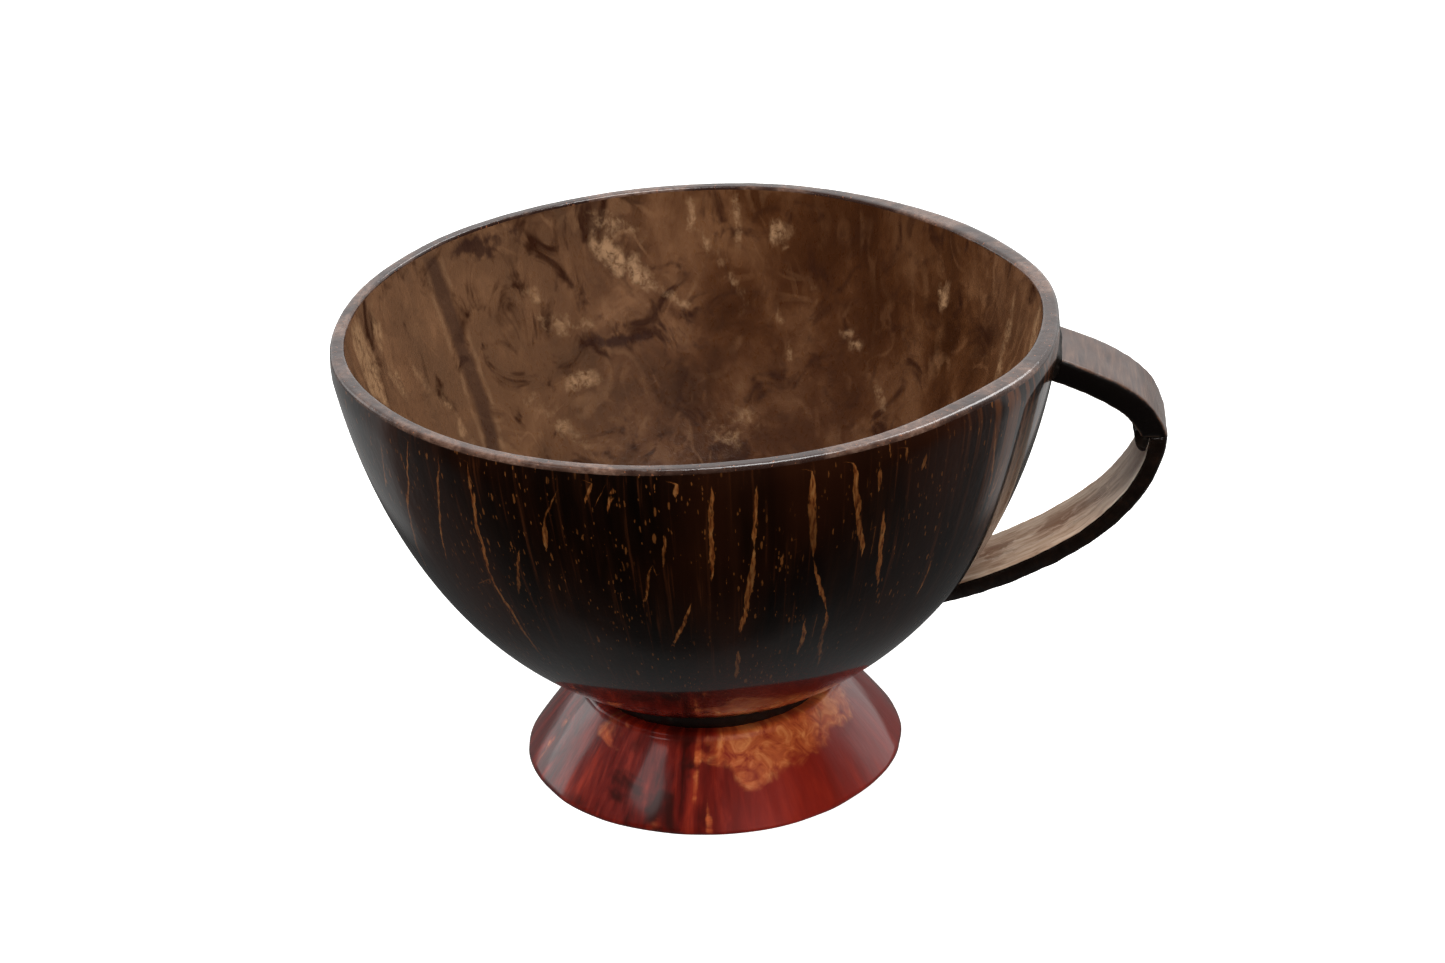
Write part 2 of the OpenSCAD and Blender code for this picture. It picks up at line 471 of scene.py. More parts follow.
def lacquered_shell():
    """Near-black polished shell under gloss lacquer, with tan fibres and flecks."""
    material, tree, surface = finish("lacquered shell")
    grain = attribute(tree, "grain")
    off, sure, half = parts(tree, attribute(tree, "fibre"))

    shade = clouds(tree, drawn_out(tree, grain, 0.12), 0.5, 4, 0.6)
    base = stops(tree, shade, [(0.3, (0.0028, 0.0014, 0.0009)), (0.55, (0.0075, 0.0028, 0.0014)),
                               (0.8, (0.026, 0.0085, 0.0034))])
    broad = clouds(tree, drawn_out(tree, grain, 0.5), 0.045, 3, 0.55)
    base = blend(tree, between(tree, broad, 0.45, 0.75), base, (0.030, 0.0080, 0.0030))
    streaks = clouds(tree, drawn_out(tree, grain, 0.05), 1.1, 3, 0.65)
    base = blend(tree, between(tree, streaks, 0.56, 0.74), base, (0.055, 0.0165, 0.0060))

    # Orange-brown streaks on the side that faces the handle
    streaks = clouds(tree, drawn_out(tree, grain, 0.04), 0.8, 3, 0.6)
    by_handle = times(tree, between(tree, parts(tree, on_cup(tree))[0], 40 * MM, 52 * MM),
                      between(tree, streaks, 0.46, 0.60))
    base = blend(tree, times(tree, by_handle, 0.75), base, (0.150, 0.046, 0.0130))

    # The fibres: their sides wander and fray, and short stretches stay hidden
    frayed = about_zero(tree, clouds(tree, drawn_out(tree, grain, 0.6), 1.3, 3, 0.6), 0.75)
    wander = about_zero(tree, clouds(tree, grain, 0.20, 2, 0.5), 1.9)
    side = size_of(tree, plus(tree, plus(tree, off, frayed), wander))
    into = maths(tree, "SUBTRACT", times(tree, half, 0.66), side)
    present = maths(tree, "MULTIPLY", between(tree, into, -0.09, 0.07), sure, clamp=True)
    broken = clouds(tree, drawn_out(tree, grain, 0.5), 0.9, 3, 0.6)
    present = times(tree, present, between(tree, broken, 0.33, 0.43))
    core = clouds(tree, drawn_out(tree, grain, 0.3), 2.6, 2, 0.6)
    tan = stops(tree, core, [(0.34, (0.11, 0.026, 0.006)), (0.52, (0.30, 0.100, 0.025)),
                             (0.72, (0.42, 0.185, 0.060))])
    clear = between(tree, clouds(tree, grain, 0.09, 2, 0.5), 0.35, 0.6)
    fibre = blend(tree, clear, blend(tree, 0.55, tan, base), tan)

    # Flecks of three sizes, bent a little and left out in patches
    bend_by = node(tree, "TexNoise", {"Vector": grain, "Scale": 1.1}).outputs["Color"]
    bent = node(tree, "VectorMath", {0: drawn_out(tree, grain, 0.42),
                                     1: stretched(tree, bend_by, (0.4, 0.4, 0.4))},
                operation="ADD").outputs[0]
    fleck = 0.0
    for fineness, rarity, reach in ((0.55, 0.80, 0.20), (1.4, 0.72, 0.32), (2.6, 0.70, 0.36)):
        cells = node(tree, "TexVoronoi", {"Vector": bent, "Scale": fineness})
        pick = parts(tree, cells.outputs["Color"])[0]
        size = times(tree, between(tree, pick, rarity, 1.0), reach)
        spot = between(tree, maths(tree, "SUBTRACT", size, cells.outputs["Distance"]), 0.0, 0.06)
        fleck = maths(tree, "MAXIMUM", fleck, spot)
    fleck = times(tree, fleck, between(tree, clouds(tree, grain, 0.07, 2, 0.5), 0.36, 0.54))
    base = blend(tree, times(tree, fleck, 0.8), base, (0.20, 0.070, 0.018))
    colour_in(tree, surface, blend(tree, present, base, fibre))

    wave = clouds(tree, grain, 0.20, 3, 0.55)
    pores = clouds(tree, drawn_out(tree, grain, 0.3), 2.4, 3, 0.6)
    bumped(tree, surface, plus(tree, wave, times(tree, pores, 0.05)), 0.35 * MM, 0.55)
    surface.inputs["Roughness"].default_value = 0.34
    surface.inputs["Specular IOR Level"].default_value = 0.25
    surface.inputs["Coat Weight"].default_value = 1.0
    surface.inputs["Coat Roughness"].default_value = 0.06
    surface.inputs["Coat IOR"].default_value = 1.5
    return material


def sawn_rim():
    """The sawn and sealed edge: grey-brown, fine saw lines, chipped tan here and there."""
    material, tree, surface = finish("sawn rim")
    grain = attribute(tree, "grain")
    lines = clouds(tree, drawn_out(tree, grain, 3), 0.9, 4, 0.65)
    base = stops(tree, lines, [(0.3, (0.056, 0.027, 0.018)), (0.55, (0.145, 0.080, 0.056)),
                               (0.8, (0.26, 0.165, 0.120))])
    worn = clouds(tree, grain, 0.12, 3, 0.6)
    base = blend(tree, between(tree, worn, 0.62, 0.40), base, (0.030, 0.014, 0.010))
    chips = clouds(tree, on_cup(tree), 1500, 2, 0.7)
    base = blend(tree, between(tree, chips, 0.66, 0.70), base, (0.26, 0.095, 0.045))
    colour_in(tree, surface, base)
    bumped(tree, surface, lines, 0.12 * MM, 0.7)
    rough_in(tree, surface, between(tree, lines, 0.9, -0.9))
    surface.inputs["Specular IOR Level"].default_value = 0.5
    surface.inputs["Coat Weight"].default_value = 0.45
    surface.inputs["Coat Roughness"].default_value = 0.18
    return material


def scraped_shell():
    """The inside: bare brown shell, mottled, with curling pale fibres and one dark seam."""
    material, tree, surface = finish("scraped shell")
    grain = attribute(tree, "grain")
    mark, seam, near = parts(tree, attribute(tree, "mark"))

    broad = clouds(tree, grain, 0.075, 4, 0.6, 0.6)
    base = stops(tree, broad, [(0.34, (0.036, 0.0112, 0.0036)), (0.5, (0.080, 0.0285, 0.0098)),
                               (0.66, (0.175, 0.078, 0.0335))])
    curl = clouds(tree, drawn_out(tree, grain, 1.2), 0.10, 3, 0.55, 2.6, "RIDGED_MULTIFRACTAL")
    fine = clouds(tree, drawn_out(tree, grain, 1.3), 0.8, 3, 0.6, 0.8)
    fibre = between(tree, plus(tree, curl, times(tree, fine, 0.35)), 1.0, 1.5)
    base = blend(tree, times(tree, fibre, 0.60), base, (0.32, 0.175, 0.088))

    # Swirls, in patches: two pale kinds and a dark one, as rings in a slow noise
    swirls = ((0.050, 40, (0.30, 0.150, 0.070)), (0.080, 30, (0.22, 0.100, 0.044)),
              (0.060, 26, (0.034, 0.011, 0.005)))
    for fineness, count, colour in swirls:
        swirl = clouds(tree, grain, fineness, 2, 0.45, 1.8)
        ring = maths(tree, "SINE", times(tree, swirl, count))
        ring = plus(tree, ring, times(tree, fine, 1.1))
        here = between(tree, clouds(tree, grain, fineness * 2.6, 2, 0.5), 0.46, 0.66)
        amount = times(tree, between(tree, ring, 0.8, 1.7), here)
        base = blend(tree, times(tree, amount, 0.36), base, colour)

    # Painted light: paler away from the handle and close by it, as if lit there, and deeper brown
    # between
    x = parts(tree, on_cup(tree))[0]
    painted_light_sides = plus(tree, between(tree, x, 5 * MM, -50 * MM),
                 times(tree, between(tree, x, 42 * MM, 56 * MM), 0.45))
    base = blend(tree, times(tree, painted_light_sides, 0.38), base, (0.30, 0.165, 0.090))
    deeper = times(tree, between(tree, x, -12 * MM, 14 * MM), between(tree, x, 45 * MM, 30 * MM))
    base = blend(tree, times(tree, deeper, 0.50), base, (0.048, 0.0150, 0.0050))
    dusk = clouds(tree, grain, 0.13, 3, 0.6, 1.4)
    base = blend(tree, between(tree, dusk, 0.5, 0.28), base, (0.033, 0.0105, 0.0045))

    # The placed marks, torn at their edges: pale ones, then dark ones
    ragged = about_zero(tree, clouds(tree, grain, 0.30, 4, 0.62, 0.3), 2.6)
    pale = between(tree, plus(tree, mark, ragged), 0.15, 1.15)
    pale = times(tree, pale, between(tree, mark, 0.0, 0.35))
    pale = times(tree, pale, between(tree, fine, 0.25, 0.62))
    base = blend(tree, times(tree, pale, 0.85), base, (0.43, 0.250, 0.130))
    dim = times(tree, between(tree, maths(tree, "SUBTRACT", ragged, mark), 0.2, 0.8),
                between(tree, mark, -0.02, -0.2))
    base = blend(tree, times(tree, dim, 0.8), base, (0.030, 0.012, 0.009))

    # The seam: a dark line with a paler border that comes and goes
    sway = about_zero(tree, clouds(tree, grain, 0.3, 2), 1.6)
    away = size_of(tree, plus(tree, seam, sway))
    border = times(tree, between(tree, away, 1.6, 2.3), between(tree, away, 3.3, 2.5))
    border = times(tree, times(tree, border, near), between(tree, dusk, 0.42, 0.62))
    base = blend(tree, times(tree, border, 0.4), base, (0.30, 0.17, 0.09))
    line = times(tree, between(tree, away, 2.2, 0.9), near)
    base = blend(tree, times(tree, line, 0.7), base, (0.050, 0.024, 0.016))
    colour_in(tree, surface, base)

    rough = clouds(tree, drawn_out(tree, grain, 0.7), 1.2, 4, 0.65, 0.6)
    bumped(tree, surface, rough, 0.30 * MM, 0.6)
    rough_in(tree, surface, between(tree, rough, 1.4, -0.9))
    surface.inputs["Specular IOR Level"].default_value = 0.16
    return material


bowl = to_object(mesh, "bowl",
                 [lacquered_shell(), sawn_rim(), scraped_shell()])
store(bowl, "grain", grain_values)
store(bowl, "fibre", fibre_values)
store(bowl, "mark", mark_values)
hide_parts("bowl_shell")


# ---------------------------------------------------------------------------------------
# The foot: a ring sawn from the end of a smaller shell and set wide side down. It was wiped
# with a clear red stain, which is deep over dark shell and orange over pale, and then
# lacquered. Its flank is almost straight and its base slightly wavy.
foot_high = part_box("foot_ring")[1]
foot_base_r = foot_high.x
foot_h = foot_high.z
foot_top_r = 21.2 * MM
foot_wall = 3.8 * MM
foot_swell = 0.45 * MM
# The wall leans, so across the level it measures more than its thickness
level_wall = foot_wall * hypot(foot_h, foot_base_r - foot_top_r) / foot_h
top_in = foot_top_r - level_wall
base_in = foot_base_r - level_wall


def foot_section():
    """The closed half-section of the ring: flank, rounded top edge, bore and rounded base."""
    flank_rows, edge_rows, bore_rows = 30, 5, 9
    flank_low, flank_high = 0.05, 0.94
    edge = 0.9 * MM
    bore_h = foot_h - 0.5 * MM
    points = []
    for i in range(flank_rows + 1):
        t = flank_low + (flank_high - flank_low) * i / flank_rows
        points.append((foot_base_r + (foot_top_r - foot_base_r) * t
                       + foot_swell * 4 * t * (1 - t), foot_h * t))
    flank_top_r = points[-1][0]
    for i in range(1, edge_rows + 1):
        a = pi / 2 * i / edge_rows
        points.append((flank_top_r - edge * (1 - cos(a)) * 1.2,
                       foot_h * (flank_high + (1 - flank_high) * sin(a))))
    points.append((top_in + edge, foot_h))
    points.append((top_in, bore_h))
    for i in range(1, bore_rows):
        t = i / bore_rows
        points.append((top_in + (base_in - top_in) * t, bore_h * (1 - t)))
    points.append((base_in + 0.3 * MM, 0))
    points.append((foot_base_r - 1.0 * MM, 0))
    points.append((foot_base_r - 0.25 * MM, 0.16 * MM))
    return points + [points[0]]


mesh = bmesh.new()
spin_line(mesh, foot_section(), 384, 0)
bmesh.ops.remove_doubles(mesh, verts=mesh.verts, dist=weld)
bmesh.ops.recalc_face_normals(mesh, faces=mesh.faces)

# Pale places under the stain: degrees round, millimetres up, half-length up the flank,
# half-width round it, lean in degrees and strength
stain_marks = [
    (-66, 11, 2.2, 5.5, 0, 1.0), (-52, 10.6, 2.4, 4.6, -20, 1.0), (-36, 11, 2.0, 5.0, -20, 1.0),
    (-23, 10.6, 1.8, 3.0, 0, 0.9), (-80, 11, 2.0, 3.6, 0, 0.8), (-72, 8.4, 2.2, 2.4, -25, 0.9),
    (-64, 8.8, 2.0, 2.6, -20, 0.8), (-92, 8, 5, 0.45, 2, 0.9), (-88, 3, 4, 0.35, -4, 0.7),
    (-130, 11, 1.6, 2.8, 0, 0.5), (-104, 1.2, 0.6, 1.0, 0, 0.4), (-12, 11, 1.2, 3, 0, 0.5),
    (60, 8, 4, 4, 20, 0.7), (120, 5, 5, 0.8, 0, 0.7), (150, 9, 3, 3, 0, 0.6),
    (95, 4, 3, 0.6, 0, 0.6), (20, 6, 4, 0.6, 5, 0.5), (-160, 5, 5, 0.6, 0, 0.5),
]

grain_r = 26
flank_per_height = 1.3
foot_grain, foot_stain = [], []
for vert in mesh.verts:
    r = hypot(vert.co.x, vert.co.y)
    z = vert.co.z
    angle = atan2(vert.co.y, vert.co.x)
    foot_grain.append((grain_r * cos(angle), grain_r * sin(angle), z / MM * flank_per_height))
    foot_stain.append((marked(degrees(angle), z, r, stain_marks, 2.4), 0, 0))
    low = max(1 - z / foot_h, 0)
    wavy = ring_noise(angle, 1.6, 3)
    fine = ring_noise(angle, 6, z / (6 * MM))
    out = (0.45 * wavy * low + 0.12 * fine) * MM
    vert.co.x *= 1 + out / r
    vert.co.y *= 1 + out / r


def red_stained_shell():
    """Clear red stain over streaked shell, orange where a mark is, under gloss lacquer."""
    material, tree, surface = finish("red stained shell")
    grain = attribute(tree, "grain")
    mark = parts(tree, attribute(tree, "stain"))[0]
    down = drawn_out(tree, grain, 0.16)
    lines = clouds(tree, down, 0.55, 4, 0.62, 0.3)
    red = stops(tree, lines, [(0.30, (0.040, 0.0016, 0.0006)), (0.5, (0.130, 0.0050, 0.0018)),
                              (0.72, (0.290, 0.020, 0.0060))])
    broad = clouds(tree, grain, 0.10, 3, 0.55, 0.6)
    red = blend(tree, between(tree, broad, 0.50, 0.36), red, (0.034, 0.0026, 0.0012))
    # Painted light: the red is painted lighter on the handle's side, where the foot is lit more
    by_handle = between(tree, parts(tree, on_cup(tree))[0], -2 * MM, 12 * MM)
    red = blend(tree, times(tree, by_handle, 0.45), red, (0.44, 0.022, 0.008))

    ragged = about_zero(tree, clouds(tree, grain, 0.22, 3, 0.55, 1.2), 2.4)
    light = times(tree, between(tree, plus(tree, mark, ragged), 0.10, 1.10),
                  between(tree, mark, 0.02, 0.25))
    orange = stops(tree, clouds(tree, grain, 0.30, 3, 0.55, 1.4), [
        (0.30, (0.30, 0.022, 0.006)), (0.50, (0.58, 0.110, 0.026)), (0.70, (0.80, 0.26, 0.075))])
    colour_in(tree, surface, blend(tree, light, red, orange))

    wave = clouds(tree, drawn_out(tree, grain, 0.4), 0.30, 3, 0.5)
    fine = clouds(tree, down, 1.6, 3, 0.6)
    bumped(tree, surface, plus(tree, wave, times(tree, fine, 0.25)), 0.30 * MM, 0.5)
    surface.inputs["Roughness"].default_value = 0.38
    surface.inputs["Specular IOR Level"].default_value = 0.35
    surface.inputs["Coat Weight"].default_value = 1.0
    surface.inputs["Coat Roughness"].default_value = 0.11
    return material


foot = to_object(mesh, "foot", [red_stained_shell()])
store(foot, "grain", foot_grain)
store(foot, "stain", foot_stain)
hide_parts("foot_ring")


# ---------------------------------------------------------------------------------------
# The glue between foot and bowl: a dark bed, pushed in a little from the foot's edge and
# smoothed with a finger, so its edge wanders and it catches the light in places.
bed_outer_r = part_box("foot_glue_bed")[1].x
bed_inner_r = top_in + 0.3 * MM
overlap = 0.1 * MM


def bed_section():
    """The closed half-section of the bed: its hollowed outer face, then round to the bore."""
    rows = 8
    points = []
    for i in range(rows + 1):
        t = i / rows
        r = bed_outer_r + (-0.75 + 1.75 * t - 0.35 * t * t) * MM
        points.append((r, foot_h - 0.15 * MM + (bowl_z(r) - foot_h + 0.2 * MM) * t ** 1.15))
    for r in (bed_inner_r + 1.6 * MM, bed_inner_r):
        points.append((r, bowl_z(r) + overlap))
    points.append((bed_inner_r, foot_h - overlap))
    return points + [points[0]]


mesh = bmesh.new()
spin_line(mesh, bed_section(), 256, 0)
bmesh.ops.remove_doubles(mesh, verts=mesh.verts, dist=weld)
bmesh.ops.recalc_face_normals(mesh, faces=mesh.faces)
for vert in mesh.verts:
    r = hypot(vert.co.x, vert.co.y)
    if r > bed_inner_r + 2 * MM:
        grow = 1 + 0.22 * MM * noise.noise(vert.co / (2.6 * MM)) / r
        vert.co = Vector((vert.co.x * grow, vert.co.y * grow, vert.co.z))


def dark_glue():
    """Hard black-brown glue, smooth in places and dusty in others."""
    material, tree, surface = finish("dark glue")
    place = on_cup(tree)
    patch = clouds(tree, place, 420, 4, 0.6, 0.5)
    colour_in(tree, surface, stops(tree, patch, [
        (0.35, (0.0035, 0.0025, 0.002)), (0.6, (0.012, 0.008, 0.006)), (0.8, (0.05, 0.036, 0.03))]))
    bumped(tree, surface, clouds(tree, place, 900, 4, 0.6), 0.25 * MM, 0.7)
    rough_in(tree, surface, between(tree, patch, -0.3, 1.2))
    surface.inputs["Specular IOR Level"].default_value = 0.5
    return material


glue = dark_glue()
glue_bed = to_object(mesh, "glue_bed", [glue])
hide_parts("foot_glue_bed")


# ---------------------------------------------------------------------------------------
# The upper handle strip: a short, thick strip of shell, lacquered on its outer face and
# edges, its edges rounded with a file. Its inner end is filed to the bowl's curve.
upper_low, upper_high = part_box("handle_upper_strip")
strip_w = upper_high.y - upper_low.y
corner_drop = 19.5 * MM
corner = Vector((upper_high.x, 0, rim_z - corner_drop))


def bend(p, leave, leave_w, q, arrive, arrive_w, t):
    """A point on the curve from p to q that leaves and arrives at the given angles."""
    span = (q - p).length
    p1 = p + span * leave_w * Vector((cos(radians(leave)), 0, sin(radians(leave))))
    q1 = q - span * arrive_w * Vector((cos(radians(arrive)), 0, sin(radians(arrive))))
    s = 1 - t
    return s * s * s * p + 3 * s * s * t * p1 + 3 * s * t * t * q1 + t * t * t * q


def strip_mesh(line, thick, side, rows, reach_in, seed):
    """A strip bent along its outer line: a flat grid, curved, given its wall, cut level at
    the handle's corner and rounded on every other edge."""
    filed = 0.65 * MM
    joint_gap = 0.1 * MM
    made = bmesh.new()
    bmesh.ops.create_grid(made, x_segments=rows, y_segments=10, size=0.5)
    for vert in made.verts:
        t = (vert.co.x + 0.5) * 1.05
        across = vert.co.y
        ahead = (line(t + 0.01) - line(t - 0.01)).normalized()
        outwards = Vector((ahead.z, 0, -ahead.x)) * side
        belly = strip_w * (1 + 0.03 * sin(pi * min(t, 1)))
        wander = noise.noise(Vector((t * 3, across * 2, seed))) * max(1 - t, 0)
        vert.co = (line(t) - ahead * reach_in * max(1 - t, 0) ** 12
                   + Vector((0, across * belly, 0)) + outwards * 0.3 * MM * wander)
    bmesh.ops.recalc_face_normals(made, faces=made.faces)
    middle = sum((vert.co for vert in made.verts), Vector()) / len(made.verts)
    face = min(made.faces, key=lambda f: (f.calc_center_median() - middle).length)
    facing = face.normal.dot(Vector((1, 0, 0)))
    bmesh.ops.solidify(made, geom=made.faces[:], thickness=thick if facing > 0 else -thick)
    level = corner.z + joint_gap * side
    bmesh.ops.bisect_plane(made, geom=made.verts[:] + made.edges[:] + made.faces[:],
                           plane_co=(0, 0, level), plane_no=(0, 0, -side), clear_outer=True)
    open_edges = [edge for edge in made.edges if len(edge.link_faces) == 1]
    bmesh.ops.edgeloop_fill(made, edges=open_edges)
    bmesh.ops.recalc_face_normals(made, faces=made.faces)
    sharp = [edge for edge in made.edges
             if len(edge.link_faces) == 2 and edge.calc_face_angle() > radians(55)
             and max(abs(vert.co.z - level) for vert in edge.verts) > 0.01 * MM]
    bmesh.ops.bevel(made, geom=sharp, offset=filed, segments=3, profile=0.5,
                    affect="EDGES", material=-1)
    made.normal_update()
    for vert in made.verts:
        lump = noise.noise(vert.co / (3.4 * MM))
        fine = noise.noise(vert.co / (1.1 * MM))
        vert.co += (0.13 * lump + 0.08 * fine) * MM * vert.normal
    return made


def file_to_bowl(made):
    """Moves whatever reaches into the bowl's wall back out to just under its surface."""
    sink = 0.25 * MM
    for vert in made.verts:
        azimuth = degrees(atan2(vert.co.y, vert.co.x))
        least = bowl_skin_r(azimuth, vert.co.z) - sink
        if hypot(vert.co.x, vert.co.y) < least:
            vert.co.x = (least ** 2 - vert.co.y ** 2) ** 0.5


upper_t = 4.1 * MM
upper_a, upper_corner_a = -20, -72
upper_root_drop = 5.2 * MM
upper_root_z = rim_z - upper_root_drop
upper_root = Vector((bowl_r(upper_root_z), 0, upper_root_z))


def upper_line(t):
    return bend(upper_root, upper_a, 0.68, corner, upper_corner_a, 0.22, t)


def strip_grain(made, line):
    """Each point's place along, across and through a strip, in mm, for its materials."""
    steps = 60
    strip_long = 45
    path = [line(i / steps) for i in range(steps + 1)]
    values = []
    for vert in made.verts:
        flat = Vector((vert.co.x, 0, vert.co.z))
        nearest = min(range(steps + 1), key=lambda i: (path[i] - flat).length)
        through = (path[nearest] - flat).length
        values.append((nearest / steps * strip_long, vert.co.y / MM, through / MM))
    return values


def handle_finish(name, outer, worn):
    """A strip's two faces: streaked along it outside, bare, fibrous and brown in the middle
    of the inner one. Gives the colour of each, and the pattern that each is raised by."""
    material, tree, surface = finish(name)
    grain = attribute(tree, "grain")
    lines = clouds(tree, stretched(tree, grain, (1.6, 0.22, 1)), 0.55, 4, 0.62)
    fibre = clouds(tree, stretched(tree, grain, (0.2, 1.1, 0.6)), 0.6, 4, 0.65, 0.8)
    blotch = clouds(tree, stretched(tree, grain, (0.45, 1, 1)), 0.35, 4, 0.65, 0.6)
    middle = between(tree, size_of(tree, parts(tree, grain)[1]), 5.0, 1.0)
    brown = times(tree, between(tree, blotch, 0.44, 0.58), middle)
    bare = stops(tree, fibre, worn)
    bare = blend(tree, times(tree, brown, 0.8), bare, (0.24, 0.100, 0.045))
    return material, tree, surface, stops(tree, lines, outer), bare, lines, fibre


def upper_shell():
    """Brown lacquered shell: black on its edges, tan where an arris is rubbed, dark below."""
    material, tree, surface, outside, bare, lines, fibre = handle_finish(
        "upper strip shell",
        [(0.30, (0.030, 0.012, 0.007)), (0.52, (0.080, 0.037, 0.022)),
         (0.78, (0.17, 0.090, 0.055))],
        [(0.3, (0.035, 0.020, 0.014)), (0.6, (0.10, 0.060, 0.038)), (0.8, (0.17, 0.11, 0.075))])
    normal = parts(tree, node(tree, "NewGeometry").outputs["Normal"])
    sideways = size_of(tree, normal[1])
    colour = blend(tree, between(tree, sideways, 0.35, 0.75), outside, (0.0045, 0.003, 0.0026))
    arris = times(tree, between(tree, sideways, 0.20, 0.45), between(tree, sideways, 0.9, 0.65))
    arris = times(tree, arris, between(tree, fibre, 0.42, 0.6))
    colour = blend(tree, times(tree, arris, 0.7), colour, (0.15, 0.062, 0.030))
    under = between(tree, normal[2], -0.35, -0.7)
    colour_in(tree, surface, blend(tree, under, colour, bare))
    bumped(tree, surface, lines, 0.22 * MM, 0.5)
    surface.inputs["Roughness"].default_value = 0.36
    surface.inputs["Coat Weight"].default_value = 0.30
    surface.inputs["Coat Roughness"].default_value = 0.14
    return material


mesh = strip_mesh(upper_line, upper_t, 1, 44, 1.0 * MM, 3)
file_to_bowl(mesh)
upper_values = strip_grain(mesh, upper_line)
upper_strip = to_object(mesh, "upper_strip", [upper_shell()])
store(upper_strip, "grain", upper_values)
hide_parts("handle_upper_strip")


# ---------------------------------------------------------------------------------------
# The lower handle strip: longer and thinner, cut from near the nut's end where the shell
# curves most. Its outside is lacquered black, and its inner face was left bare and woody.
lower_t = 2.9 * MM
lower_a, lower_corner_a = 13, 85
lower_root_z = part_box("handle_lower_strip")[0].z
lower_root = Vector((bowl_r(lower_root_z), 0, lower_root_z))


def lower_line(t):
    return bend(lower_root, lower_a, 0.24, corner, lower_corner_a, 0.38, t)


def lower_shell():
    """Black lacquer outside and on the edges, bare pale shell on the inner face, painted almost
    white towards the corner as a painted highlight.
    """
    material, tree, surface, outside, bare, lines, fibre = handle_finish(
        "lower strip shell",
        [(0.30, (0.005, 0.003, 0.0022)), (0.55, (0.010, 0.0058, 0.0042)),
         (0.85, (0.032, 0.014, 0.008))],
        [(0.30, (0.34, 0.180, 0.105)), (0.48, (0.62, 0.415, 0.285)), (0.68, (0.80, 0.63, 0.49))])
    along, _, depth = parts(tree, attribute(tree, "grain"))
    normal = parts(tree, node(tree, "NewGeometry").outputs["Normal"])
    inner = times(tree, between(tree, depth, 0.62 * lower_t / MM, 0.9 * lower_t / MM),
                  between(tree, size_of(tree, normal[1]), 0.62, 0.4))
    # Painted highlight: near the corner the bare face is painted almost white, standing in for
    # light and the white backdrop's reflection there
    painted_highlight_by_corner = times(tree, between(tree, along, 22, 44), 0.7)
    bare = blend(tree, painted_highlight_by_corner, bare, (0.94, 0.82, 0.72))
    colour_in(tree, surface, blend(tree, inner, outside, bare))
    bumped(tree, surface, blend(tree, inner, lines, fibre), 0.45 * MM, 0.8)
    rough_in(tree, surface, between(tree, inner, -0.6, 1.7))
    lacquer = times(tree, maths(tree, "SUBTRACT", 1.0, inner), 0.6)
    tree.links.new(lacquer, surface.inputs["Coat Weight"])
    surface.inputs["Coat Roughness"].default_value = 0.2
    return material


mesh = strip_mesh(lower_line, lower_t, -1, 84, 1.5 * MM, 8)
file_to_bowl(mesh)
lower_values = strip_grain(mesh, lower_line)
lower_strip = to_object(mesh, "lower_strip", [lower_shell()])
store(lower_strip, "grain", lower_values)
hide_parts("handle_lower_strip")


# ---------------------------------------------------------------------------------------
# Glue at the handle's corner: a thin joint between the strips, with a torn bead squeezed
# out on the inside of the bend.
bead_long = strip_w * 0.96
bead_at = Vector((corner.x - lower_t - 0.65 * MM, 0, corner.z - 0.8 * MM))
layer_size = Vector((2.9 * MM, strip_w * 0.975, 0.5 * MM))
layer_at = Vector((corner.x - 1.75 * MM, 0, corner.z))

mesh = bmesh.new()
bmesh.ops.create_uvsphere(mesh, u_segments=28, v_segments=56, radius=0.5)
for vert in mesh.verts:
    x, y, z = vert.co
    # The ball's ends are filled out, so that the bead keeps its width across the strip
    flat = min(abs(z) * 2, 0.998)
    fuller = (1 - flat ** 6) ** 0.5 / (1 - flat ** 2) ** 0.5
    lump = 1 + 0.4 * noise.noise(Vector((x * 3, y * 2, z * 9)))
    ragged = noise.noise(Vector((1, 0, z * 11))) + 0.5 * noise.noise(Vector((3, 0, z * 29)))
    hang = 4.8 * max(ragged + 0.15, 0) * max(-y, 0)
    vert.co = bead_at + Vector(((x * 3.1 * lump * fuller - 0.9 * max(y, 0)) * MM,
                                z * bead_long, (y * 3.6 * lump * fuller - hang) * MM))
for vert in bmesh.ops.create_cube(mesh, size=1)["verts"]:
    vert.co = layer_at + vert.co * layer_size
bmesh.ops.recalc_face_normals(mesh, faces=mesh.faces)
corner_glue = to_object(mesh, "corner_glue", [glue])
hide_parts("handle_corner_glue")


